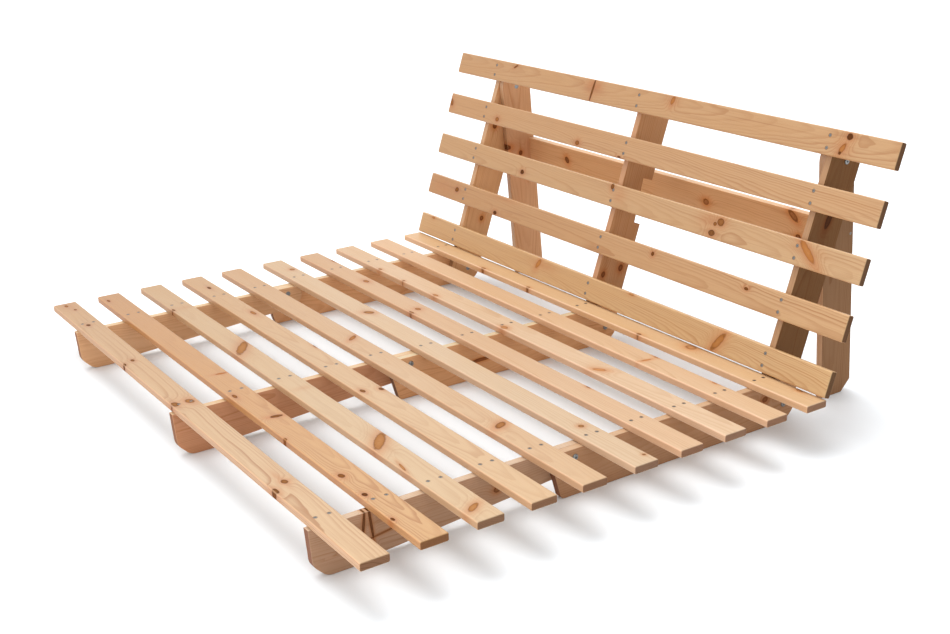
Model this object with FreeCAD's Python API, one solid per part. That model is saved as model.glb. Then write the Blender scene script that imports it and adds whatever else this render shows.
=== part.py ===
import FreeCAD, Part
import math
import os
from FreeCAD import Vector

# Three-section slatted pine futon base: front section, seat section, back section with folding legs.
# Row frame: X along the slats, Y from the front edge to the rear, Z up, floor at Z = 0.
# Side profiles are laid out as (y, z) with y = 0 at the front edge of the first slat.

# ---- slats -------------------------------------------------------------------------------------
SLAT_LENGTH = 1900.0
SLAT_WIDTH = 70.0
SLAT_THICK = 20.0
SLAT_EDGE_ROUND = 4.0
SLAT_END_ROUND = 2.5
SLATS_PER_SECTION = 5
SEAT_TOP = 141.5
SEAT_PITCH = 140.0
SEAT_FIRST = 710.5
BACK_PITCH = 146.0

# ---- rails and legs ----------------------------------------------------------------------------
BAR_THICK = 20.6
BAR_STEP = 21.1
BAR_EDGE_ROUND = 1.5
RAIL_TOP = SEAT_TOP - SLAT_THICK
SIDE_X = 732.15
SLIDING_RELIEF = 0.5

FRONT_NOSE = -6.5
FRONT_SLANT = 0.0818
FRONT_FOOT_CHAMFER = 33.0
FRONT_FOOT_SOFTEN = 35.0
FRONT_FOOT_END = 110.0
FRONT_RAMP = (150.0, 10.0)
FRONT_TAPER = 0.075
PIVOT_ROUND = 50.0

SEAT_RAIL_FRONT = 612.0
SEAT_RAIL_SLANT = 0.2956
SEAT_RAIL_TOE_ROUND = 16.0
SEAT_RAIL_REAR = 1440.0
SEAT_RAIL_HEEL_ROUND = 62.0
SEAT_RAIL_TOP_ROUND = 8.0

BACK_LEAN = math.radians(18.69)
BACK_ORIGIN = (1349.3, 141.7)
BACK_RAIL_DEPTH = 115.5
BACK_RAIL_LOW = -117.5
BACK_RAIL_HIGH = 648.0
BACK_RAIL_TOE_ROUND = 25.0
BACK_RAIL_HEEL_ROUND = 46.2
BACK_RAIL_TOP_ROUND = 8.0
NOTCH_LOW = 260.0
NOTCH_HIGH = 399.0
NOTCH_DEPTH_LOW = 25.0
NOTCH_DEPTH_HIGH = 38.0

LEG_TILT = math.radians(5.0)
LEG_WIDTH = 115.0
LEG_CHAMFER = 33.0
BOARD_TOP = 190.0
BOARD_WIDTH = 120.0

# ---- pivots ------------------------------------------------------------------------------------
FRONT_PIVOT = (687.5, 100.0)
BACK_PIVOT = (1392.0, 52.0)
LEG_PIVOT_UP = 583.0
LEG_PIVOT_IN = 60.0

# ---- hardware ----------------------------------------------------------------------------------
BOLT_R = 4.0
BOLT_SNUG = 0.02
BOLT_RUNNING = 0.06
HEAD_R = 8.0
HEAD_HEIGHT = 3.6
SOCKET_FLATS = 5.0
SOCKET_DEPTH = 2.4
NUT_R = 8.0
NUT_THICK = 2.6
NUT_POCKET = 3.0
NUT_POCKET_GAP = 0.3
WASHER_R = 11.0
WASHER_THICK = 0.4
SCREW_R = 2.0
SCREW_HEAD_R = 4.0
SCREW_HEAD_RIM = 0.4
SCREW_HEAD_CONE = 2.4
SCREW_LENGTH = 42.0
SCREW_POINT = 4.0
SCREW_SINK = 0.3
SCREW_GAP = 0.05
SCREW_OFFSETS = (18.0, 51.0)
RECESS_LENGTH = 4.6
RECESS_WIDTH = 0.9
RECESS_DEPTH = 1.3
BOARD_SCREW_OFFSETS = (25.0, 95.0)


def back_point(up, depth):
    """Side-view point on the leaning back: up along its front edge, depth to the rear of it."""
    y = BACK_ORIGIN[0] + up * math.sin(BACK_LEAN) + depth * math.cos(BACK_LEAN)
    z = BACK_ORIGIN[1] + up * math.cos(BACK_LEAN) - depth * math.sin(BACK_LEAN)
    return (y, z)


LEG_PIVOT = back_point(LEG_PIVOT_UP, LEG_PIVOT_IN)


def leg_point(down, across):
    """Side-view point on a leg: down from its pivot, across towards the rear."""
    y = LEG_PIVOT[0] + down * math.sin(LEG_TILT) + across * math.cos(LEG_TILT)
    z = LEG_PIVOT[1] - down * math.cos(LEG_TILT) + across * math.sin(LEG_TILT)
    return (y, z)


def leg_down_at(height, across):
    """Distance down the leg at which a line at this offset is at the given height."""
    return (LEG_PIVOT[1] - height + across * math.sin(LEG_TILT)) / math.cos(LEG_TILT)


LEG_HEEL = leg_point(leg_down_at(LEG_CHAMFER, LEG_WIDTH / 2), LEG_WIDTH / 2)
ORIGIN_Y = 0.5 * (FRONT_NOSE + LEG_HEEL[0])


def rounded_wire(corners):
    """Closed side-view wire through corners (y, z, radius), each corner rounded by its radius."""
    cuts = []
    count = len(corners)
    for index in range(count):
        y, z, radius = corners[index]
        here = Vector(0, y, z)
        before = corners[index - 1]
        after = corners[(index + 1) % count]
        to_before = (Vector(0, before[0], before[1]) - here).normalize()
        to_after = (Vector(0, after[0], after[1]) - here).normalize()
        half = to_before.getAngle(to_after) / 2
        if radius == 0:
            cuts.append((here, None, here))
            continue
        reach = radius / math.tan(half)
        centre = here + (to_before + to_after).normalize() * (radius / math.sin(half))
        middle = centre + (here - centre).normalize() * radius
        cuts.append((here + to_before * reach, middle, here + to_after * reach))
    edges = []
    for index in range(count):
        start, middle, end = cuts[index]
        if middle is not None:
            edges.append(Part.Arc(start, middle, end).toShape())
        following = cuts[(index + 1) % count][0]
        if end.distanceToPoint(following) > 1e-6:
            edges.append(Part.makeLine(end, following))
    return Part.Wire(edges)


def flat_bar(corners, x_centre, edge_round=BAR_EDGE_ROUND):
    """Board cut to a side-view outline, its thickness along X, with eased edges."""
    face = Part.Face(rounded_wire(corners))
    bar = face.extrude(Vector(BAR_THICK, 0, 0))
    outline = [edge for edge in bar.Edges if edge.BoundBox.XLength < 1e-6]
    bar = bar.makeFillet(edge_round, outline)
    bar.translate(Vector(x_centre - BAR_THICK / 2, 0, 0))
    return bar


def cylinder_x(radius, x_from, x_to, pivot):
    """Round bar along X between two X values at a side-view point."""
    length = abs(x_to - x_from)
    return Part.makeCylinder(radius, length, Vector(min(x_from, x_to), *pivot), Vector(1, 0, 0))


def slat():
    """One slat with its front bottom edge on the X axis, its width along +Y."""
    bar = Part.makeBox(SLAT_LENGTH, SLAT_WIDTH, SLAT_THICK, Vector(-SLAT_LENGTH / 2, 0, 0))
    long_edges = [edge for edge in bar.Edges if edge.BoundBox.XLength > 1]
    bar = bar.makeFillet(SLAT_EDGE_ROUND, long_edges)
    end_edges = [edge for edge in bar.Edges if edge.BoundBox.XLength < 1e-6]
    return bar.makeFillet(SLAT_END_ROUND, end_edges)


def screw_solid(gap, above):
    """Countersunk screw along -Z, top of its head at Z = 0; gap grows it, above lifts the head rim."""
    head = SCREW_HEAD_R + gap
    shank = SCREW_R + gap
    rim = -SCREW_HEAD_RIM
    neck = rim - SCREW_HEAD_CONE
    tip = -SCREW_LENGTH - gap
    outline = [
        (0, above),
        (head, above),
        (head, rim),
        (shank, neck),
        (shank, tip + SCREW_POINT),
        (0, tip),
        (0, above),
    ]
    wire = Part.makePolygon([Vector(radius, 0, z) for radius, z in outline])
    return Part.Face(wire).revolve(Vector(0, 0, 0), Vector(0, 0, 1), 360)


def screw():
    """Screw with a cross recess in its head."""
    body = screw_solid(0.0, 0.0)
    for turn in (0, 90):
        corner = Vector(-RECESS_LENGTH / 2, -RECESS_WIDTH / 2, -RECESS_DEPTH)
        slot = Part.makeBox(RECESS_LENGTH, RECESS_WIDTH, RECESS_DEPTH + 1, corner)
        slot.rotate(Vector(0, 0, 0), Vector(0, 0, 1), turn + 45)
        body = body.cut(slot)
    return body


SCREW = screw()
SCREW_BORE = screw_solid(SCREW_GAP, 2.0)


def driven(shape, surface_point, outward):
    """Copy of a screw or its bore, set in from a surface point against the outward normal."""
    turn = FreeCAD.Rotation(Vector(0, 0, 1), outward)
    copy = shape.copy()
    copy.Placement = FreeCAD.Placement(surface_point - outward * SCREW_SINK, turn)
    return copy


def hinge_bolt(x_head_face, x_nut_face, pivot):
    """Button-head bolt along X, from the face under its head to the face that its nut is let into."""
    outward = 1 if x_head_face > x_nut_face else -1
    shank_end = x_nut_face + outward * (NUT_POCKET - NUT_THICK + SCREW_SINK)
    shank = cylinder_x(BOLT_R, x_head_face, shank_end, pivot)
    crown = x_head_face + outward * HEAD_HEIGHT
    head = cylinder_x(HEAD_R, x_head_face, crown, pivot)
    rim = [edge for edge in head.Edges if abs(edge.BoundBox.XMin - crown) < 1e-6 and edge.Length > 1
           and edge.BoundBox.XLength < 1e-6]
    head = head.makeFillet(HEAD_HEIGHT * 0.75, rim)
    radius = SOCKET_FLATS / math.sqrt(3)
    corners = []
    for step in range(7):
        angle = math.radians(60 * step)
        y = pivot[0] + radius * math.cos(angle)
        z = pivot[1] + radius * math.sin(angle)
        corners.append(Vector(crown - outward * SOCKET_DEPTH, y, z))
    socket = Part.Face(Part.makePolygon(corners)).extrude(Vector(outward * (SOCKET_DEPTH + 1), 0, 0))
    return head.fuse(shank).cut(socket).removeSplitter()


def hinge_nut(x_nut_face, inward, pivot):
    """Flat ring nut let into the face; inward is the X direction into the wood."""
    outer = x_nut_face + inward * (NUT_POCKET - NUT_THICK)
    ring = cylinder_x(NUT_R, outer, outer + inward * NUT_THICK, pivot)
    return ring.cut(cylinder_x(BOLT_R + BOLT_SNUG, outer, outer + inward * NUT_THICK, pivot))


def hinge_washer(x_face, inward, pivot):
    """Thin washer lying on the fixed bar's face, between it and the turning bar."""
    disc = cylinder_x(WASHER_R, x_face, x_face + inward * WASHER_THICK, pivot)
    return disc.cut(cylinder_x(BOLT_R + BOLT_SNUG, x_face, x_face + inward * WASHER_THICK, pivot))


# ---- side-view outlines ------------------------------------------------------------------------
def front_rail_outline():
    toe = FRONT_NOSE + (RAIL_TOP - FRONT_FOOT_CHAMFER) * FRONT_SLANT
    rear = FRONT_PIVOT[0] + PIVOT_ROUND
    rear_low = FRONT_RAMP[1] + (rear - FRONT_RAMP[0]) * FRONT_TAPER
    return [
        (FRONT_NOSE, RAIL_TOP, 2.0),
        (toe, FRONT_FOOT_CHAMFER, FRONT_FOOT_SOFTEN),
        (toe + FRONT_FOOT_CHAMFER, 0.0, FRONT_FOOT_SOFTEN),
        (FRONT_FOOT_END, 0.0, 0),
        (FRONT_RAMP[0], FRONT_RAMP[1], 0),
        (rear, rear_low, PIVOT_ROUND - 2.0),
        (rear, RAIL_TOP, 6.0),
    ]


def seat_rail_outline():
    toe = SEAT_RAIL_FRONT + RAIL_TOP * SEAT_RAIL_SLANT
    return [
        (SEAT_RAIL_FRONT, RAIL_TOP, 3.0),
        (toe, 0.0, SEAT_RAIL_TOE_ROUND),
        (SEAT_RAIL_REAR, 0.0, SEAT_RAIL_HEEL_ROUND),
        (SEAT_RAIL_REAR, RAIL_TOP, SEAT_RAIL_TOP_ROUND),
    ]


def back_rail_outline():
    return [
        (*back_point(BACK_RAIL_LOW, 0.0), BACK_RAIL_TOE_ROUND),
        (*back_point(BACK_RAIL_LOW, BACK_RAIL_DEPTH), BACK_RAIL_HEEL_ROUND),
        (*back_point(BACK_RAIL_HIGH, BACK_RAIL_DEPTH), BACK_RAIL_TOP_ROUND),
        (*back_point(BACK_RAIL_HIGH, 0.0), 3.0),
    ]


def leg_outline():
    half = LEG_WIDTH / 2
    toe = leg_point(leg_down_at(0.0, -half), -half)
    return [
        (*leg_point(-half, -half), half - 0.01),
        (*toe, 3.0),
        (LEG_HEEL[0] - LEG_CHAMFER, 0.0, 3.0),
        (*LEG_HEEL, 3.0),
        (*leg_point(-half, half), half - 0.01),
    ]


# ---- assembly ----------------------------------------------------------------------------------
nodes = {}
bores = {}


def add_bore(node, shape):
    bores.setdefault(node, []).append(shape)


LEFT = "left"
MIDDLE = "middle"
RIGHT = "right"
RAIL_X = {LEFT: -SIDE_X, MIDDLE: 0.0, RIGHT: SIDE_X}
OUTWARD = {LEFT: -1, MIDDLE: 1, RIGHT: 1}
SEAT_RAIL_X = {side: RAIL_X[side] + OUTWARD[side] * BAR_STEP for side in RAIL_X}
LEG_X = {side: RAIL_X[side] - OUTWARD[side] * BAR_STEP for side in (LEFT, RIGHT)}

for side in RAIL_X:
    front = flat_bar(front_rail_outline(), RAIL_X[side])
    relief_from = SEAT_FIRST - 12.0
    relief = Part.makeBox(200, 100, SLIDING_RELIEF, Vector(RAIL_X[side] - 100, relief_from,
                                                          RAIL_TOP - SLIDING_RELIEF))
    nodes["front_rail_" + side] = front.cut(relief)

    seat = flat_bar(seat_rail_outline(), SEAT_RAIL_X[side])
    relief_to = SLATS_PER_SECTION * SEAT_PITCH - 60.0
    relief = Part.makeBox(200, 100, SLIDING_RELIEF, Vector(SEAT_RAIL_X[side] - 100, relief_to - 100,
                                                          RAIL_TOP - SLIDING_RELIEF))
    nodes["seat_rail_" + side] = seat.cut(relief)
    nodes["back_rail_" + side] = flat_bar(back_rail_outline(), RAIL_X[side])

notch_outline = [
    back_point(NOTCH_LOW, BACK_RAIL_DEPTH + 5),
    back_point(NOTCH_LOW, BACK_RAIL_DEPTH - NOTCH_DEPTH_LOW),
    back_point(NOTCH_HIGH, BACK_RAIL_DEPTH - NOTCH_DEPTH_HIGH),
    back_point(NOTCH_HIGH, BACK_RAIL_DEPTH + 5),
]
notch_face = Part.Face(Part.makePolygon([Vector(-50, y, z) for y, z in notch_outline + notch_outline[:1]]))
nodes["back_rail_middle"] = nodes["back_rail_middle"].cut(notch_face.extrude(Vector(100, 0, 0)))

for side in LEG_X:
    nodes["rear_leg_" + side] = flat_bar(leg_outline(), LEG_X[side])

board_half = LEG_X[RIGHT] - BAR_THICK / 2
board_outline = [
    leg_point(BOARD_TOP, LEG_WIDTH / 2 - BAR_THICK),
    leg_point(BOARD_TOP, LEG_WIDTH / 2),
    leg_point(BOARD_TOP + BOARD_WIDTH, LEG_WIDTH / 2),
    leg_point(BOARD_TOP + BOARD_WIDTH, LEG_WIDTH / 2 - BAR_THICK),
]
board_wire = Part.makePolygon([Vector(-board_half, y, z) for y, z in board_outline + board_outline[:1]])
board = Part.Face(board_wire).extrude(Vector(2 * board_half, 0, 0))
board_edges = [edge for edge in board.Edges if edge.BoundBox.XLength > 100]
nodes["leg_cross_board"] = board.makeFillet(2.0, board_edges)

SLAT = slat()
UP = Vector(0, 0, 1)
BACK_NORMAL = Vector(0, -math.cos(BACK_LEAN), math.sin(BACK_LEAN))
slat_screws = {"front": [], "seat": [], "back": []}


def fix_slat(section, slat_node, rail_xs, surface_point, normal):
    """Drive two screws per rail through a slat; surface_point maps (x, offset) to its face."""
    for side, x in rail_xs.items():
        for offset in SCREW_OFFSETS:
            point = surface_point(x, offset)
            slat_screws[section].append(driven(SCREW, point, normal))
            add_bore(slat_node, driven(SCREW_BORE, point, normal))
            add_bore(section + "_rail_" + side, driven(SCREW_BORE, point, normal))


def level_point(start):
    return lambda x, offset: Vector(x, start + offset, SEAT_TOP)


def leaning_point(start):
    return lambda x, offset: Vector(x, *back_point(start + offset, -SLAT_THICK))


for index in range(SLATS_PER_SECTION):
    for section, first, rail_xs in (("front", 0.0, RAIL_X), ("seat", SEAT_FIRST, SEAT_RAIL_X)):
        start = first + index * SEAT_PITCH
        bar = SLAT.copy()
        bar.translate(Vector(0, start, RAIL_TOP))
        node = "{}_slat_{}".format(section, index + 1)
        nodes[node] = bar
        fix_slat(section, node, rail_xs, level_point(start), UP)

    start = index * BACK_PITCH
    bar = SLAT.copy()
    bar.rotate(Vector(0, 0, 0), Vector(1, 0, 0), 90 - math.degrees(BACK_LEAN))
    bar.translate(Vector(0, *back_point(start, 0.0)))
    node = "back_slat_{}".format(index + 1)
    nodes[node] = bar
    fix_slat("back", node, RAIL_X, leaning_point(start), BACK_NORMAL)

for section, screws in slat_screws.items():
    nodes[section + "_slat_screws"] = Part.makeCompound(screws)

board_screws = []
for side in LEG_X:
    outward = Vector(OUTWARD[side], 0, 0)
    x_face = LEG_X[side] + OUTWARD[side] * BAR_THICK / 2
    for offset in BOARD_SCREW_OFFSETS:
        point = Vector(x_face, *leg_point(BOARD_TOP + offset, (LEG_WIDTH - BAR_THICK) / 2))
        board_screws.append(driven(SCREW, point, outward))
        add_bore("rear_leg_" + side, driven(SCREW_BORE, point, outward))
        add_bore("leg_cross_board", driven(SCREW_BORE, point, outward))
nodes["cross_board_screws"] = Part.makeCompound(board_screws)


def add_hinge(name, pivot, fixed, turning, sides):
    """Bolt, washer and let-in nut at each side; fixed and turning are (node stem, X positions)."""
    bolts = []
    washers = []
    nuts = []
    for side in sides:
        outward = OUTWARD[side]
        x_head = fixed[1][side] + outward * BAR_THICK / 2
        x_between = fixed[1][side] - outward * BAR_THICK / 2
        x_nut = turning[1][side] - outward * BAR_THICK / 2
        bolts.append(hinge_bolt(x_head, x_nut, pivot))
        washers.append(hinge_washer(x_between, -outward, pivot))
        nuts.append(hinge_nut(x_nut, outward, pivot))
        add_bore(fixed[0] + side, cylinder_x(BOLT_R + BOLT_SNUG, x_head + outward, x_between - outward, pivot))
        pocket = cylinder_x(NUT_R + NUT_POCKET_GAP, x_nut - outward, x_nut + outward * NUT_POCKET, pivot)
        hole = cylinder_x(BOLT_R + BOLT_RUNNING, x_between + outward, x_nut - outward, pivot)
        add_bore(turning[0] + side, pocket)
        add_bore(turning[0] + side, hole)
    nodes[name + "_bolts"] = Part.makeCompound(bolts)
    nodes[name + "_washers"] = Part.makeCompound(washers)
    nodes[name + "_nuts"] = Part.makeCompound(nuts)


add_hinge("front_hinge", FRONT_PIVOT, ("seat_rail_", SEAT_RAIL_X), ("front_rail_", RAIL_X), RAIL_X)
add_hinge("back_hinge", BACK_PIVOT, ("seat_rail_", SEAT_RAIL_X), ("back_rail_", RAIL_X), RAIL_X)
add_hinge("leg_hinge", LEG_PIVOT, ("back_rail_", RAIL_X), ("rear_leg_", LEG_X), LEG_X)

for node, shapes in bores.items():
    for shape in shapes:
        nodes[node] = nodes[node].cut(shape)

os.makedirs("parts", exist_ok=True)
for node, shape in nodes.items():
    shape.translate(Vector(0, -ORIGIN_Y, 0))
    shape.exportStep("parts/{}.step".format(node))

box = Part.makeCompound(list(nodes.values())).BoundBox
print("nodes", len(nodes), "origin_y", round(ORIGIN_Y, 3), "leg pivot", LEG_PIVOT, "box", box)
for node, shape in nodes.items():
    if not shape.isValid() or (shape.ShapeType != "Compound" and len(shape.Solids) != 1):
        print("CHECK", node, shape.isValid(), len(shape.Solids))
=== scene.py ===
import math
import random

import bpy
from mathutils import Matrix, Vector


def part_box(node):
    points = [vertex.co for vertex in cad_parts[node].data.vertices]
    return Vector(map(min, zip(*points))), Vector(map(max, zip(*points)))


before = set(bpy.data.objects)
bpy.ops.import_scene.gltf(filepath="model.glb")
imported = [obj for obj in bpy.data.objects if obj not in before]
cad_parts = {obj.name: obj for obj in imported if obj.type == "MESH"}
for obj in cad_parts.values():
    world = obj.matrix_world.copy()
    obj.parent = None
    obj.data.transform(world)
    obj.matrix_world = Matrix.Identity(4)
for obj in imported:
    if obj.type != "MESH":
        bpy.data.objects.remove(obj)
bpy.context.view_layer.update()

# the sky brightens steadily towards one side, with a soft box glowing low at the left rear
SKY_BRIGHT_SIDE = (-0.45, -0.58, 0.68)
SKY_DARK = 0.08
SKY_BRIGHT = 1.66
BOX_SIDE = (-0.80, 0.48, 0.36)
BOX_FROM = 0.72
BOX_BRIGHT = 0.5
KEY_FROM = (-0.25, -0.05, 0.96)
KEY_POWER = 1.7
KEY_SPREAD = 38.0
FLOOR_HALF = 150.0
FLOOR_DROP = 0.0003
FLOOR_COLOR = (0.83, 0.865, 0.895)

# the frame's layout in metres: how far the back and the legs lean, and where they start
LEAN = math.radians(18.69)
LEG_TILT = math.radians(5.0)
FRONT_EDGE = -0.85016
BACK_ORIGIN = Vector((0, 1.3493 + FRONT_EDGE, 0.1417))
LEG_PIVOT = Vector((0, 0.742797, 0.674729))

X = Vector((1, 0, 0))
Y = Vector((0, 1, 0))
Z = Vector((0, 0, 1))
BACK_UP = Vector((0, math.sin(LEAN), math.cos(LEAN)))
BACK_REAR = Vector((0, math.cos(LEAN), -math.sin(LEAN)))
LEG_DOWN = Vector((0, math.sin(LEG_TILT), -math.cos(LEG_TILT)))
LEG_REAR = Vector((0, math.cos(LEG_TILT), math.sin(LEG_TILT)))

# camera: place and clipping in metres, axes as unit vectors, lens and sensor in mm
CAMERA_PLACE = (2.9321, -1.0630 + FRONT_EDGE, 1.4602)
CAMERA_RIGHT = Vector((0.56643, 0.82396, -0.01594))
CAMERA_DOWN = Vector((0.27207, -0.20522, -0.94014))
CAMERA_FORWARD = Vector((-0.77791, 0.52818, -0.34041))
CAMERA_LENS = 49.46
CAMERA_SENSOR = 36.0
CAMERA_CLIP = (0.05, 500.0)


# ---- camera ------------------------------------------------------------------------------------
def make_camera():
    """Camera off the front right corner, looking down across the slats."""
    data = bpy.data.cameras.new("camera")
    data.lens = CAMERA_LENS
    data.sensor_width = CAMERA_SENSOR
    data.clip_start, data.clip_end = CAMERA_CLIP
    cam = bpy.data.objects.new("camera", data)
    bpy.context.scene.collection.objects.link(cam)
    turn = Matrix((CAMERA_RIGHT, -CAMERA_DOWN, -CAMERA_FORWARD)).transposed().to_4x4()
    cam.matrix_world = Matrix.Translation(CAMERA_PLACE) @ turn
    bpy.context.scene.camera = cam


# ---- node graph helper -------------------------------------------------------------------------
class Graph:
    """Short calls for building a material's nodes. Values are sockets or plain numbers."""

    def __init__(self, name):
        self.material = bpy.data.materials.new(name)
        self.material.use_nodes = True
        self.tree = self.material.node_tree
        self.tree.nodes.clear()

    def feed(self, socket, value):
        if isinstance(value, bpy.types.NodeSocket):
            self.tree.links.new(value, socket)
        else:
            socket.default_value = value

    def math(self, operation, a, b=0.0, c=0.0, clamp=False):
        node = self.tree.nodes.new("ShaderNodeMath")
        node.operation = operation
        node.use_clamp = clamp
        for socket, value in zip(node.inputs, (a, b, c)):
            self.feed(socket, value)
        return node.outputs[0]

    def add(self, a, b):
        return self.math("ADD", a, b)

    def sub(self, a, b):
        return self.math("SUBTRACT", a, b)

    def mul(self, a, b):
        return self.math("MULTIPLY", a, b)

    def step(self, value, low, high):
        """Smooth step from 0 at low to 1 at high."""
        node = self.tree.nodes.new("ShaderNodeMapRange")
        node.interpolation_type = "SMOOTHSTEP"
        self.feed(node.inputs["Value"], value)
        self.feed(node.inputs["From Min"], low)
        self.feed(node.inputs["From Max"], high)
        return node.outputs["Result"]

    def dot(self, vector, direction):
        node = self.tree.nodes.new("ShaderNodeVectorMath")
        node.operation = "DOT_PRODUCT"
        self.feed(node.inputs[0], vector)
        self.feed(node.inputs[1], direction)
        return node.outputs["Value"]

    def vector(self, x, y, z):
        node = self.tree.nodes.new("ShaderNodeCombineXYZ")
        for socket, value in zip(node.inputs, (x, y, z)):
            self.feed(socket, value)
        return node.outputs[0]

    def noise(self, vector, detail=2.0, roughness=0.5, scale=1.0):
        """Noise from about -1 to 1."""
        node = self.tree.nodes.new("ShaderNodeTexNoise")
        self.feed(node.inputs["Vector"], vector)
        node.inputs["Scale"].default_value = scale
        node.inputs["Detail"].default_value = detail
        node.inputs["Roughness"].default_value = roughness
        return self.math("MULTIPLY_ADD", node.outputs[0], 2.0, -1.0)

    def white(self, value):
        node = self.tree.nodes.new("ShaderNodeTexWhiteNoise")
        node.noise_dimensions = "1D"
        self.feed(node.inputs["W"], value)
        return node.outputs["Value"]

    def mix(self, factor, a, b, blend="MIX"):
        node = self.tree.nodes.new("ShaderNodeMix")
        node.data_type = "RGBA"
        node.blend_type = blend
        self.feed(node.inputs[0], factor)
        for socket, value in ((node.inputs[6], a), (node.inputs[7], b)):
            if isinstance(value, tuple) and len(value) == 3:
                value = (*value, 1.0)
            self.feed(socket, value)
        return node.outputs[2]

    def bump(self, height, strength, distance):
        node = self.tree.nodes.new("ShaderNodeBump")
        node.inputs["Strength"].default_value = strength
        node.inputs["Distance"].default_value = distance
        self.feed(node.inputs["Height"], height)
        return node.outputs[0]

    def finish(self, color, roughness, normal=None, gloss=0.5, metallic=0.0):
        shader = self.tree.nodes.new("ShaderNodeBsdfPrincipled")
        output = self.tree.nodes.new("ShaderNodeOutputMaterial")
        if isinstance(color, tuple):
            color = (*color, 1.0)
        self.feed(shader.inputs["Base Color"], color)
        self.feed(shader.inputs["Roughness"], roughness)
        self.feed(shader.inputs["Specular IOR Level"], gloss)
        shader.inputs["Metallic"].default_value = metallic
        if normal is not None:
            self.feed(shader.inputs["Normal"], normal)
        self.tree.links.new(shader.outputs[0], output.inputs["Surface"])
        return self.material


# ---- pine --------------------------------------------------------------------------------------
EARLY_WOOD = (0.60, 0.400, 0.245)
LATE_WOOD = (0.38, 0.170, 0.062)
WARM_WOOD = (0.58, 0.325, 0.145)
HEART_WOOD = (0.42, 0.200, 0.085)
# paler arris colour: wear, and a painted highlight
WORN_AND_HIGHLIGHT_WOOD = (0.70, 0.500, 0.330)
END_WOOD = (0.38, 0.180, 0.105)
END_RING = (0.22, 0.100, 0.045)
KNOT_CORE = (0.54, 0.220, 0.075)
KNOT_LIGHT = (0.60, 0.320, 0.140)
KNOT_DARK = (0.120, 0.040, 0.010)
KNOT_HALO = (0.50, 0.170, 0.035)
PLAIN = (1.0, 1.0, 1.0)
SCREW_ZINC = (0.26, 0.255, 0.24)
HINGE_STEEL = (0.30, 0.30, 0.295)

# sizes in mm: pith line, rings, the smallest knot that shows rings, the bruise and painted shade round a
# screw head
PITH_WANDER = 14.0
RING_RIPPLE = 2.2
RINGED_KNOT = 9.0
SCREW_BRUISE_AND_SHADE = (6.2, 4.4)
# knots: raggedness of the outline, falloff of bent rings and of colour, strength of their own rings
KNOT_RAGGED = 0.32
KNOT_PUSH = -0.16
KNOT_SPREAD = -0.26
KNOT_RINGS = 0.34
STAIN_SPREAD = -0.7
# loss of orange and gain in brightness along a board, per mm and unit of fade; the gain in brightness is
# painted light
FADE_ORANGE = -0.001
FADE_PAINTED_LIGHT = 0.0002
# surface: cover of end grain, wear with painted highlight on the arrises, bruises with painted shade round
# screw heads, then roughness and gloss of planed and dull wood
END_COVER = 0.92
ARRIS_WORN_AND_HIGHLIGHT = 0.38
ARRIS_KNOCKED = 0.35
BRUISE_AND_SHADE_DARK = 0.72
ROUGH = 0.48
DULL_ROUGHER = 0.3
GLOSS = 0.5
DULL_GLOSS_LOSS = -0.42


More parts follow.
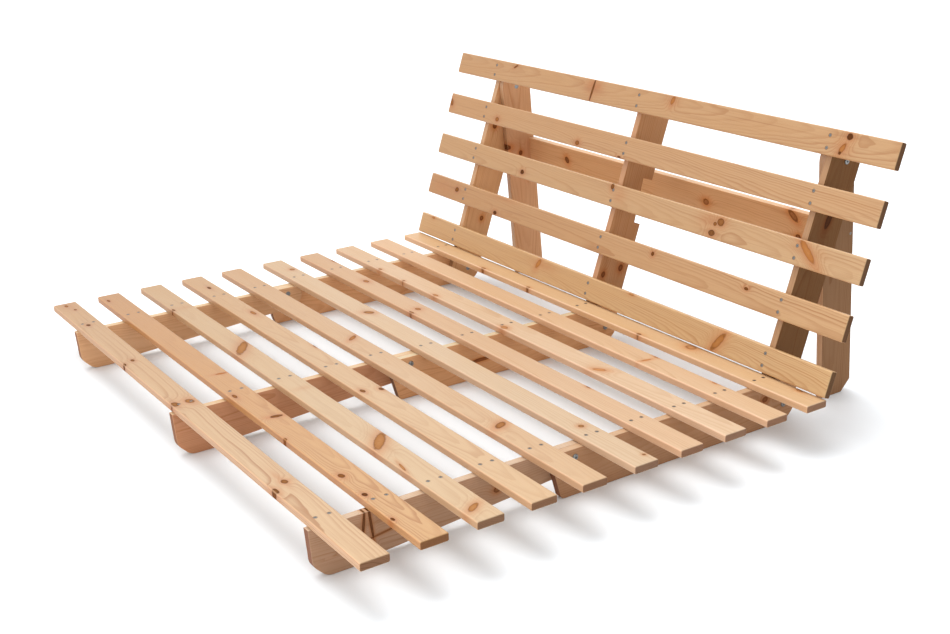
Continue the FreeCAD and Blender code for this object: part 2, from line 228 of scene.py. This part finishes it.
def pine(name, origin, along, across, through, *, seed, pith, drift, ring, tint, warm, fade=0.0,
         contrast=0.55, knots=(), stains=(), faces=(), end=0.8, screws=()):
    """Planed pine board. Its axes are unit vectors from origin; lengths are in mm.

    knots: (along, across, half length, half width, angle in degrees, darkness) each.
    stains: (along, across, half length, half width, strength) of resin-rich patches.
    screws: (along, across) of each screw head in the board.
    pith: the tree's centre in the board's cross-section; drift: how fast the rings climb.
    ring: mean ring spacing; contrast: how dark the rings are; end: tone of the end grain.
    warm: how orange the wood is; fade: how much less orange and how much paler it gets
    towards +along, per metre; the paler part is painted light.
    tint: overall colour; faces: (direction, colour) of each face toned differently, which paints light and
    shade on single faces.
    """
    g = Graph(name)
    coord = g.tree.nodes.new("ShaderNodeTexCoord")
    place = coord.outputs["Object"]
    x, y, z = (
        g.math("MULTIPLY_ADD", g.dot(place, tuple(axis)), 1000.0, -1000.0 * origin.dot(axis))
        for axis in (along, across, through)
    )

    def sway(long, wide, thick, detail=2.0, roughness=0.5):
        """Noise stretched along the board, different on each board."""
        return g.noise(g.vector(g.mul(x, long), g.mul(y, wide), g.math("MULTIPLY_ADD", z, thick, seed)),
                       detail, roughness)

    # growth rings about a pith line that wanders along the board
    wander = g.noise(g.vector(g.mul(x, 1 / 420), seed, 3.1), detail=1.0)
    ripple = sway(1 / 130, 1 / 30, 1 / 30)
    dy = g.sub(g.math("MULTIPLY_ADD", wander, PITH_WANDER, y), pith[0])
    dz = g.sub(g.math("MULTIPLY_ADD", x, drift, z), pith[1])
    radius = g.math("SQRT", g.add(g.mul(dy, dy), g.mul(dz, dz)))
    radius = g.math("MULTIPLY_ADD", ripple, RING_RIPPLE, radius)

    blot = sway(1 / 11, 1 / 9, 1 / 12)

    # knots push the rings aside, stain the wood round them and draw dark streaks along the grain
    core = dark_core = heart = rings = rim = halo = tail = 0.0
    for kx, ky, half_long, half_short, strength in stains:
        ax = g.mul(g.sub(x, kx), 1 / half_long)
        ay = g.mul(g.sub(y, ky), 1 / half_short)
        patch = g.math("EXPONENT", g.mul(g.add(g.mul(ax, ax), g.mul(ay, ay)), STAIN_SPREAD))
        halo = g.math("MAXIMUM", halo, g.mul(patch, strength))
    for kx, ky, half_long, half_short, angle, dark in knots:
        cos, sin = math.cos(math.radians(angle)), math.sin(math.radians(angle))
        ax = g.sub(x, kx)
        ay = g.sub(y, ky)
        u = g.math("MULTIPLY_ADD", ax, cos / half_long, g.mul(ay, sin / half_long))
        v = g.math("MULTIPLY_ADD", ay, cos / half_short, g.mul(ax, -sin / half_short))
        reach = g.math("SQRT", g.add(g.mul(u, u), g.mul(v, v)))
        reach = g.math("MULTIPLY_ADD", blot, KNOT_RAGGED, reach)
        spread = g.mul(reach, reach)
        size = math.sqrt(half_long * half_short)
        push = g.math("EXPONENT", g.mul(spread, KNOT_PUSH))
        radius = g.math("MULTIPLY_ADD", push, size * 1.3, radius)
        inside = g.step(reach, 1.10, 0.88)
        edge = g.mul(g.step(reach, 1.22, 1.02), g.step(reach, 0.66, 0.96))
        core = g.math("MAXIMUM", core, inside)
        dark_core = g.math("MAXIMUM", dark_core, g.mul(inside, min(1.0, 1.1 * dark)))
        heart = g.math("MAXIMUM", heart, g.mul(g.step(reach, 0.80, 0.15), 1.0 - dark))
        if size > RINGED_KNOT:
            wave = g.math("SINE", g.mul(reach, 4.2 * math.sqrt(size)))
            wave = g.math("MULTIPLY_ADD", wave, 0.5, 0.5)
            rings = g.math("MAXIMUM", rings, g.mul(g.mul(wave, inside), KNOT_RINGS))
        rim = g.math("MAXIMUM", rim, g.mul(edge, 0.30 + 0.65 * dark))
        halo = g.math("MAXIMUM", halo, g.math("EXPONENT", g.mul(spread, KNOT_SPREAD)))
        tx = g.mul(ax, 1 / (2.2 * size + 14.0))
        ty = g.mul(ay, 1 / (0.35 * size + 0.6))
        trail = g.math("EXPONENT", g.mul(g.add(g.mul(tx, tx), g.mul(ty, ty)), -0.5))
        tail = g.math("MAXIMUM", tail, g.mul(trail, 0.20 + 0.6 * dark))

    count = g.math("DIVIDE", radius, ring)
    phase = g.math("FRACT", count)
    weight = g.white(g.math("FLOOR", count))
    band = g.mul(g.step(phase, 0.35, 0.90), g.step(phase, 1.0, 0.94))
    band = g.mul(band, g.math("MULTIPLY_ADD", weight, 0.85, 0.15))

    # fine fibres, resin flecks, single brown streaks and slow changes of tone
    fibre = sway(1 / 55, 1.3, 1.3, 3.0, 0.6)
    streak = sway(1 / 300, 1 / 6, 1 / 9, 3.0)
    cloud = g.noise(g.vector(g.mul(x, 1 / 330), g.mul(y, 1 / 60), g.math("ADD", g.mul(z, 1 / 60), seed + 7)))
    thread = sway(1 / 160, 1 / 2.2, 1 / 3)
    fleck = g.step(g.noise(g.vector(g.mul(x, 1 / 9), g.mul(y, 1.9), g.math("ADD", z, seed))), 0.42, 0.62)
    orange = g.math("MULTIPLY_ADD", cloud, 0.30, warm)
    orange = g.math("MULTIPLY_ADD", x, FADE_ORANGE * fade, orange, clamp=True)

    color = g.mix(g.mul(band, contrast), EARLY_WOOD, LATE_WOOD)
    color = g.mix(orange, color, WARM_WOOD)
    color = g.mix(g.mul(g.step(streak, 0.1, 0.75), 0.20 + 0.50 * contrast), color, LATE_WOOD)
    color = g.mix(g.mul(g.step(thread, 0.0, 0.8), 0.20 + 0.30 * contrast), color, LATE_WOOD)
    color = g.mix(g.mul(fleck, 0.16), color, HEART_WOOD)
    color = g.mix(g.mul(halo, g.math("MULTIPLY_ADD", blot, 0.40, 0.88, clamp=True)), color, KNOT_HALO)
    color = g.mix(g.mul(tail, g.math("MULTIPLY_ADD", streak, 0.9, 0.75, clamp=True)), color, HEART_WOOD)
    inner = g.mul(heart, g.math("MULTIPLY_ADD", blot, 0.8, 0.55, clamp=True))
    knot_color = g.mix(g.mul(dark_core, g.math("MULTIPLY_ADD", inner, -0.55, 1.0)), KNOT_CORE, KNOT_DARK)
    knot_color = g.mix(rings, g.mix(g.mul(inner, 0.5), knot_color, KNOT_LIGHT), HEART_WOOD)
    color = g.mix(core, color, knot_color)
    color = g.mix(g.mul(rim, g.math("MULTIPLY_ADD", blot, 0.9, 0.85, clamp=True)), color, KNOT_DARK)

    # end grain shows on faces square to the length
    facing = g.math("ABSOLUTE", g.dot(coord.outputs["Normal"], tuple(along)))
    ends = g.mul(g.step(facing, 0.55, 0.85), END_COVER)
    end_color = g.mix(band, tuple(end * c for c in END_WOOD), tuple(end * c for c in END_RING))
    color = g.mix(ends, color, end_color)

    # arrises: painted paler, partly as wear from handling and partly as a painted highlight on the rounded
    # edges, with a few darker knocks
    flat = g.math("ABSOLUTE", g.dot(coord.outputs["Normal"], tuple(through)))
    arris = g.mul(g.step(flat, 0.10, 0.35), g.step(flat, 0.985, 0.85))
    knock = g.noise(g.vector(g.mul(x, 1 / 14), g.mul(y, 1 / 10), g.math("ADD", g.mul(z, 1 / 10), seed)))
    knock = g.step(knock, 0.35, 0.65)
    color = g.mix(g.mul(arris, ARRIS_WORN_AND_HIGHLIGHT), color, WORN_AND_HIGHLIGHT_WOOD)
    color = g.mix(g.mul(g.mul(arris, knock), ARRIS_KNOCKED), color, HEART_WOOD)

    # the wood round each screw head is darkened, partly as a bruise where the head is driven in and partly
    # as painted shade in its countersink
    for sx, sy in screws:
        ax = g.sub(x, sx)
        ay = g.sub(y, sy)
        away = g.math("SQRT", g.add(g.mul(ax, ax), g.mul(ay, ay)))
        color = g.mix(g.mul(g.step(away, *SCREW_BRUISE_AND_SHADE), BRUISE_AND_SHADE_DARK), color, KNOT_DARK)

    # the board's own colour, with painted light making it paler towards +along by its fade, then painted
    # light and shade on single faces
    value = g.math("MULTIPLY_ADD", fibre, 0.10, g.math("MULTIPLY_ADD", x, FADE_PAINTED_LIGHT * fade, 1.0))
    color = g.mix(1.0, color, g.vector(*(g.mul(value, c) for c in tint)), "MULTIPLY")
    # end grain, knots and a +through face carrying painted light and shade are duller than the rest
    dull = g.math("MAXIMUM", ends, core)
    for direction, tone in faces:
        turned = g.step(g.dot(coord.outputs["Normal"], tuple(direction)), 0.3, 0.8)
        color = g.mix(turned, color, g.mix(1.0, color, tone, "MULTIPLY"))
        if direction == through:
            dull = g.math("MAXIMUM", dull, turned)

    # relief and shine
    height = g.add(g.mul(band, -0.5), g.math("MULTIPLY_ADD", fibre, 0.6, g.mul(core, -0.4)))
    height = g.sub(height, g.mul(g.mul(arris, knock), 1.2))
    normal = g.bump(height, 0.35, 0.0004)
    roughness = g.math("MULTIPLY_ADD", fibre, 0.06, g.math("MULTIPLY_ADD", arris, -0.06, ROUGH))
    roughness = g.math("MULTIPLY_ADD", dull, DULL_ROUGHER, roughness)
    gloss = g.math("MULTIPLY_ADD", dull, DULL_GLOSS_LOSS, GLOSS)
    return g.finish(color, roughness, normal, gloss)


def steel(name, tone, roughness):
    """Zinc-plated steel with a slightly cloudy surface."""
    g = Graph(name)
    place = g.tree.nodes.new("ShaderNodeTexCoord").outputs["Object"]
    cloud = g.noise(place, 3.0, 0.6, scale=420.0)
    fine = g.noise(place, 2.0, 0.6, scale=2600.0)
    color = g.mix(g.math("MULTIPLY_ADD", cloud, 0.5, 0.5, clamp=True), tone, tuple(0.6 * c for c in tone))
    rough = g.math("MULTIPLY_ADD", cloud, 0.08, roughness)
    return g.finish(color, rough, g.bump(fine, 0.2, 0.0001), metallic=1.0)


def paint(node, material):
    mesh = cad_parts[node].data
    mesh.materials.clear()
    mesh.materials.append(material)


# ---- boards and hardware -----------------------------------------------------------------------
# knots as (along, across, half length, half width, angle, darkness), mm from the middle of each board
KNOTS = {
    "front_slat_1": [(-920, -4, 9, 5, 0, 0.4), (-872, 8, 7, 4, 0, 0.5), (-712, -6, 8, 6, 0, 0.8),
                     (-360, -3, 8, 5, 0, 0.7), (-342, -32, 9, 4, -10, 0.8), (-2, 13, 14, 10, 15, 0.35),
                     (-4, -26, 14, 9, 0, 0.6), (546, 5, 10, 7, 0, 0.65), (575, -31, 13, 6, 0, 0.8)],
    "front_slat_2": [(-890, -21, 10, 4, 0, 0.5), (-125, 14, 14, 4, 80, 0.2), (40, -22, 12, 5, 0, 0.6),
                     (215, 9, 15, 7, 80, 0.8), (348, -34, 7, 4, 0, 0.7), (596, -19, 10, 7, 0, 0.7),
                     (705, -22, 8, 6, 0, 0.9), (835, -30, 7, 4, 0, 0.9)],
    "front_slat_3": [(-265, 1, 50, 13, -34, 0.25), (492, 1, 46, 13, -38, 0.3), (891, -5, 20, 8, -56, 0.3),
                     (-685, -31, 9, 4, 0, 0.7), (640, -27, 20, 3, -10, 0.3)],
    "front_slat_4": [(-818, 4, 12, 5, 0, 0.8), (-515, 14, 17, 6, 0, 0.3), (-150, 31, 12, 3, 0, 0.5),
                     (222, 26, 9, 6, 0, 0.8), (205, -20, 11, 6, 0, 0.7)],
    "front_slat_5": [(-147, 9, 20, 7, -50, 0.35), (587, 3, 20, 10, -60, 0.5)],
    "seat_slat_1": [(-830, 15, 9, 8, 0, 0.35), (-307, 5, 16, 10, 40, 0.45), (707, 5, 7, 7, 0, 0.5),
                    (913, 23, 4, 4, 0, 0.7)],
    "seat_slat_2": [(-828, 30, 14, 4, 0, 0.4), (-572, 9, 14, 8, 0, 0.35), (-244, 0, 10, 8, 0, 0.35),
                    (-230, -31, 12, 4, 0, 0.6), (532, 31, 8, 4, 0, 0.6)],
    "seat_slat_3": [(-655, -29, 8, 5, 0, 0.5), (-504, -31, 6, 4, 0, 0.6), (-320, -28, 12, 6, 0, 0.3),
                    (43, -25, 12, 9, 0, 0.3), (457, -11, 18, 8, 35, 0.1)],
    "seat_slat_4": [(480, -6, 15, 4, 80, 0.15), (480, 29, 8, 3, 0, 0.4), (705, 29, 8, 3, 0, 0.3)],
    "seat_slat_5": [(483, 15, 16, 13, 0, 0.35), (870, 25, 10, 5, 0, 0.5), (-455, -31, 10, 5, 0, 0.5),
                    (-208, -31, 8, 5, 0, 0.6), (318, -30, 8, 5, 0, 0.7)],
    "back_slat_1": [(-250, 15, 16, 8, 60, 0.1), (565, -3, 32, 10, 58, 0.3), (195, 32, 10, 3, 0, 0.3),
                    (-875, 30, 8, 4, 0, 0.3)],
    "back_slat_2": [(-780, 6, 10, 8, 0, 0.6), (-537, -25, 9, 6, 0, 0.9), (234, 19, 6, 6, 0, 0.8),
                    (608, 13, 7, 4, 0, 0.8)],
    "back_slat_3": [(-450, -14, 9, 7, 0, 0.9), (-7, 26, 9, 7, 90, 0.7), (455, 17, 12, 10, 0, 0.6),
                    (436, 8, 6, 5, 0, 0.6), (432, -19, 11, 8, 0, 0.8), (768, 9, 38, 9, -38, 0.12)],
    "back_slat_4": [(-942, 4, 15, 8, -50, 0.5), (-655, -15, 9, 7, 0, 0.4), (-219, -22, 9, 7, 0, 0.5),
                    (-15, -31, 7, 3, 0, 0.8)],
    "back_slat_5": [(-625, 24, 11, 3, 30, 0.7), (-213, 2, 34, 4, 86, 0.85), (145, 20, 12, 7, 75, 0.15),
                    (794, 22, 9, 8, 0, 0.95), (781, -11, 15, 7, 62, 0.2), (777, -23, 4, 4, 0, 0.9)],
}
# resin-rich patches as (along, across, half length, half width, strength), measured the same way
STAINS = {
    "front_slat_1": [(-925, 0, 50, 20, 0.5), (530, 2, 42, 8, 0.5), (-2, -5, 30, 30, 0.4)],
    "front_slat_3": [(-690, 5, 14, 34, 0.35), (95, 5, 12, 26, 0.35)],
    "seat_slat_3": [(457, -11, 26, 13, 0.7), (-320, -28, 18, 9, 0.6), (43, -25, 20, 11, 0.6)],
    "seat_slat_5": [(483, 13, 34, 20, 0.6), (-455, -28, 26, 8, 0.5), (318, -28, 26, 8, 0.5)],
    "back_slat_1": [(-225, 15, 55, 11, 0.5), (562, 0, 24, 32, 0.5)],
    "back_slat_2": [(-860, 0, 80, 30, 0.4), (-500, 28, 60, 7, 0.4)],
    "back_slat_3": [(420, 14, 42, 18, 0.6), (30, 5, 26, 22, 0.4), (770, 9, 44, 14, 0.4)],
    "back_slat_4": [(-942, 4, 18, 20, 0.5)],
    "back_slat_5": [(-210, 12, 34, 20, 0.95), (145, 16, 26, 14, 0.5), (782, -10, 22, 24, 0.6)],
}
# warm, fade (whose paling is painted light), ring spacing and ring contrast of each slat
GRAIN = {
    "front_slat_1": (0.22, 0.75, 4.6, 1.00),
    "front_slat_2": (0.67, 0.75, 2.6, 1.00),
    "front_slat_3": (0.22, 0.70, 4.0, 0.35),
    "front_slat_4": (0.27, 0.70, 3.4, 0.50),
    "front_slat_5": (0.27, 0.60, 3.0, 0.35),
    "seat_slat_1": (0.22, 0.42, 3.4, 0.35),
    "seat_slat_2": (0.32, 0.65, 3.0, 0.45),
    "seat_slat_3": (0.22, 0.45, 3.6, 0.40),
    "seat_slat_4": (0.27, 0.30, 3.0, 0.35),
    "seat_slat_5": (0.67, 0.15, 2.4, 0.55),
    "back_slat_1": (0.47, 0.25, 2.2, 1.00),
    "back_slat_2": (0.47, 0.60, 3.6, 1.00),
    "back_slat_3": (0.37, 0.35, 3.4, 0.75),
    "back_slat_4": (0.47, 0.30, 3.2, 1.00),
    "back_slat_5": (0.47, 0.30, 3.6, 0.90),
}
# overall colour of each board
TINT = {
    "front_slat_1": (0.67, 0.66, 0.59),
    "front_slat_2": (0.64, 0.55, 0.38),
    "front_slat_3": (0.67, 0.69, 0.64),
    "front_slat_4": (0.68, 0.67, 0.60),
    "front_slat_5": (0.68, 0.66, 0.60),
    "seat_slat_1": (0.72, 0.77, 0.79),
    "seat_slat_2": (0.73, 0.72, 0.70),
    "seat_slat_3": (0.79, 0.83, 0.86),
    "seat_slat_4": (0.81, 0.81, 0.79),
    "seat_slat_5": (0.84, 0.89, 0.90),
    "back_slat_1": (0.77, 0.72, 0.55),
    "back_slat_2": (0.69, 0.60, 0.45),
    "back_slat_3": (0.70, 0.64, 0.51),
    "back_slat_4": (0.69, 0.61, 0.48),
    "back_slat_5": (0.68, 0.60, 0.46),
    "front_rail_right": (0.71, 0.64, 0.66),
    "front_rail_left": (0.80, 0.72, 0.64),
    "front_rail_middle": (0.78, 0.68, 0.60),
    "seat_rail_right": (0.68, 0.55, 0.49),
    "seat_rail_middle": (0.76, 0.76, 0.73),
    "seat_rail_left": (0.75, 0.69, 0.65),
    "back_rail_left": (0.80, 0.70, 0.58),
    "back_rail_middle": (0.75, 0.57, 0.44),
    "back_rail_right": (0.62, 0.51, 0.39),
    "rear_leg_left": (0.78, 0.68, 0.59),
    "rear_leg_right": (0.62, 0.52, 0.45),
    "leg_cross_board": (0.97, 0.95, 0.90),
}
# painted light and shade on one broad face: the +X side of rails and legs, the front of the cross board;
# most are painted paler where light falls, the right back rail's and right leg's are painted darker as shade
BROAD_FACE_PAINTED_LIGHT_AND_SHADE = {
    "front_rail_left": (1.45, 1.40, 1.42),
    "front_rail_middle": (1.22, 1.04, 1.07),
    "seat_rail_left": (1.75, 1.55, 1.38),
    "seat_rail_middle": (1.60, 1.30, 1.12),
    "back_rail_left": (1.33, 1.25, 1.22),
    "rear_leg_left": (1.28, 1.18, 1.18),
    "leg_cross_board": (1.23, 1.13, 1.06),
    "back_rail_right": (0.43, 0.37, 0.31),
    "rear_leg_right": (0.50, 0.47, 0.44),
}
# painted light: the slats' edge towards -across and the rails' top faces are painted paler, as faces the
# light falls on
SLAT_EDGE_PAINTED_LIGHT = (1.18, 1.05, 1.02)
RAIL_TOP_PAINTED_LIGHT = (1.12, 1.34, 1.46)
# painted light: the right leg is painted paler and less orange towards its foot, where the floor lights it
LEG_PAINTED_FLOOR_LIGHT = {"rear_leg_right": 3.6}
# warmth of the bars, tone of the end grain of the slats, and range of ring spacing in mm; the back slats'
# end grain is set darker than the flat slats', partly as painted shade
RAIL_WARM = 0.15
LEG_WARM = 0.2
CROSS_BOARD_WARM = 0.35
FLAT_SLAT_END = 0.66
BACK_SLAT_END_AND_SHADE = 0.30
SLAT_RINGS = (2.6, 4.2)
BAR_RINGS = (3.0, 4.5)

rng = random.Random(7)


def draw_growth(*ring_range):
    """Where the board was sawn from the tree, drawn at random."""
    return {
        "seed": rng.uniform(0, 90),
        "pith": (rng.uniform(-50, 50), rng.uniform(-110, -50)),
        "drift": rng.uniform(0.012, 0.035),
        "ring": rng.uniform(*ring_range),
    }


# screw heads along and across each section's slats, mm
SCREW_X = {
    "front": (-732.15, 0.0, 732.15),
    "seat": (-753.25, 21.1, 753.25),
    "back": (-732.15, 0.0, 732.15),
}
SCREW_Y = (-17.0, 16.0)


def slat_material(node, across, through, end):
    """Slat lying left to right; its own ring spacing replaces the drawn one."""
    low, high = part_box(node)
    growth = draw_growth(*SLAT_RINGS)
    warm, fade, growth["ring"], contrast = GRAIN[node]
    screws = [(x, y) for x in SCREW_X[node.split("_")[0]] for y in SCREW_Y]
    return pine(node, (low + high) / 2, X, across, through, knots=KNOTS[node], stains=STAINS.get(node, ()),
                contrast=contrast, warm=warm, fade=fade, tint=TINT[node], end=end, screws=screws,
                faces=((-across, SLAT_EDGE_PAINTED_LIGHT),), **growth)


for index in range(1, 6):
    for section in ("front", "seat"):
        node = "{}_slat_{}".format(section, index)
        paint(node, slat_material(node, Y, Z, FLAT_SLAT_END))
    node = "back_slat_{}".format(index)
    paint(node, slat_material(node, BACK_UP, -BACK_REAR, BACK_SLAT_END_AND_SHADE))

# knots of the rails, legs and cross board in the same form, measured from each one's own origin
BAR_KNOTS = {
    "front_rail_right": [(-224, 34, 40, 3, 84, 0.9), (-206, 32, 42, 3, 97, 0.9), (-180, -1, 44, 2, 8, 0.6),
                         (127, 10, 9, 7, 0, 0.6)],
    "seat_rail_right": [(322, 22, 9, 7, 0, 0.6)],
    "seat_rail_middle": [(-77, -5, 34, 4, 0, 0.8), (-75, -2, 24, 3, 0, 0.8)],
    "back_rail_left": [(434, 28, 9, 8, 0, 0.8), (111, 72, 8, 7, 0, 0.7)],
    "back_rail_middle": [(86, 22, 9, 7, 0, 0.7), (116, 85, 10, 8, 0, 0.7)],
    "back_rail_right": [(424, 58, 22, 9, 10, 0.8)],
    "rear_leg_left": [(204, -65, 20, 9, 80, 0.9), (236, -4, 8, 7, 0, 0.8), (330, 20, 7, 6, 0, 0.6)],
    "leg_cross_board": [(-490, 17, 11, 9, -50, 0.9), (181, 11, 11, 9, 0, 0.6), (527, 44, 20, 9, -40, 0.7),
                        (546, -14, 9, 7, 0, 0.8)],
}


def bar_material(node, origin, along, across, through, faces, **wood):
    """Rail, leg or cross board."""
    return pine(node, origin, along, across, through, knots=BAR_KNOTS.get(node, ()), tint=TINT[node],
                faces=faces, **wood, **draw_growth(*BAR_RINGS))


for side in ("left", "middle", "right"):
    for section, along, across, origin in (
        ("front", Y, Z, Vector((0, -0.5, 0.06))),
        ("seat", Y, Z, Vector((0, 0.15, 0.06))),
        ("back", BACK_UP, BACK_REAR, BACK_ORIGIN),
    ):
        node = "{}_rail_{}".format(section, side)
        low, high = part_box(node)
        origin = Vector(((low.x + high.x) / 2, origin.y, origin.z))
        faces = ((X, BROAD_FACE_PAINTED_LIGHT_AND_SHADE.get(node, PLAIN)), (Z, RAIL_TOP_PAINTED_LIGHT))
        paint(node, bar_material(node, origin, along, across, X, faces, warm=RAIL_WARM))

for side in ("left", "right"):
    node = "rear_leg_" + side
    low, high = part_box(node)
    origin = Vector(((low.x + high.x) / 2, LEG_PIVOT.y, LEG_PIVOT.z))
    paint(node, bar_material(node, origin, LEG_DOWN, LEG_REAR, X, ((X, BROAD_FACE_PAINTED_LIGHT_AND_SHADE[node]),),
                             warm=LEG_WARM, fade=LEG_PAINTED_FLOOR_LIGHT.get(node, 0.0)))

node = "leg_cross_board"
low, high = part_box(node)
paint(node, bar_material(node, (low + high) / 2, X, -LEG_DOWN, -LEG_REAR,
                         ((-LEG_REAR, BROAD_FACE_PAINTED_LIGHT_AND_SHADE[node]),), warm=CROSS_BOARD_WARM))

SCREW_STEEL = steel("screw_zinc", SCREW_ZINC, 0.42)
BOLT_STEEL = steel("hinge_steel", HINGE_STEEL, 0.36)
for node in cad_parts:
    if node.endswith("screws"):
        paint(node, SCREW_STEEL)
    elif "hinge" in node:
        paint(node, BOLT_STEEL)


# ---- studio ------------------------------------------------------------------------------------
def make_floor():
    mesh = bpy.data.meshes.new("studio_floor")
    corners = [(FLOOR_HALF * x, FLOOR_HALF * y, 0) for x, y in ((-1, -1), (1, -1), (1, 1), (-1, 1))]
    mesh.from_pydata(corners, [], [(0, 1, 2, 3)])
    floor = bpy.data.objects.new("studio_floor", mesh)
    bpy.context.scene.collection.objects.link(floor)
    floor.location.z = -FLOOR_DROP
    g = Graph("studio_floor")
    mesh.materials.append(g.finish(FLOOR_COLOR, 0.9, gloss=0.1))


def make_studio():
    """Pale floor, a high soft key light, and a sky that is brightest at the front left."""
    make_floor()
    world = bpy.data.worlds.new("studio")
    bpy.context.scene.world = world
    world.use_nodes = True
    tree = world.node_tree
    background = tree.nodes["Background"]
    coord = tree.nodes.new("ShaderNodeTexCoord")
    total = tree.nodes.new("ShaderNodeMath")
    for socket, direction, start, low, high in (
        (total.inputs[0], SKY_BRIGHT_SIDE, -1.0, SKY_DARK, SKY_BRIGHT),
        (total.inputs[1], BOX_SIDE, BOX_FROM, 0.0, BOX_BRIGHT),
    ):
        side = tree.nodes.new("ShaderNodeVectorMath")
        side.operation = "DOT_PRODUCT"
        side.inputs[1].default_value = direction
        tree.links.new(coord.outputs["Generated"], side.inputs[0])
        fade = tree.nodes.new("ShaderNodeMapRange")
        fade.inputs["From Min"].default_value = start
        fade.inputs["From Max"].default_value = 1.0
        fade.inputs["To Min"].default_value = low
        fade.inputs["To Max"].default_value = high
        tree.links.new(side.outputs["Value"], fade.inputs["Value"])
        tree.links.new(fade.outputs["Result"], socket)
    tree.links.new(total.outputs[0], background.inputs["Strength"])
    background.inputs["Color"].default_value = (1.0, 1.0, 1.0, 1.0)

    data = bpy.data.lights.new("key", "SUN")
    data.energy = KEY_POWER
    data.angle = math.radians(KEY_SPREAD)
    light = bpy.data.objects.new("key", data)
    bpy.context.scene.collection.objects.link(light)
    light.rotation_mode = "QUATERNION"
    light.rotation_quaternion = (-Vector(KEY_FROM)).to_track_quat("-Z", "Y")
    bpy.context.scene.view_settings.view_transform = "Standard"


make_camera()
make_studio()
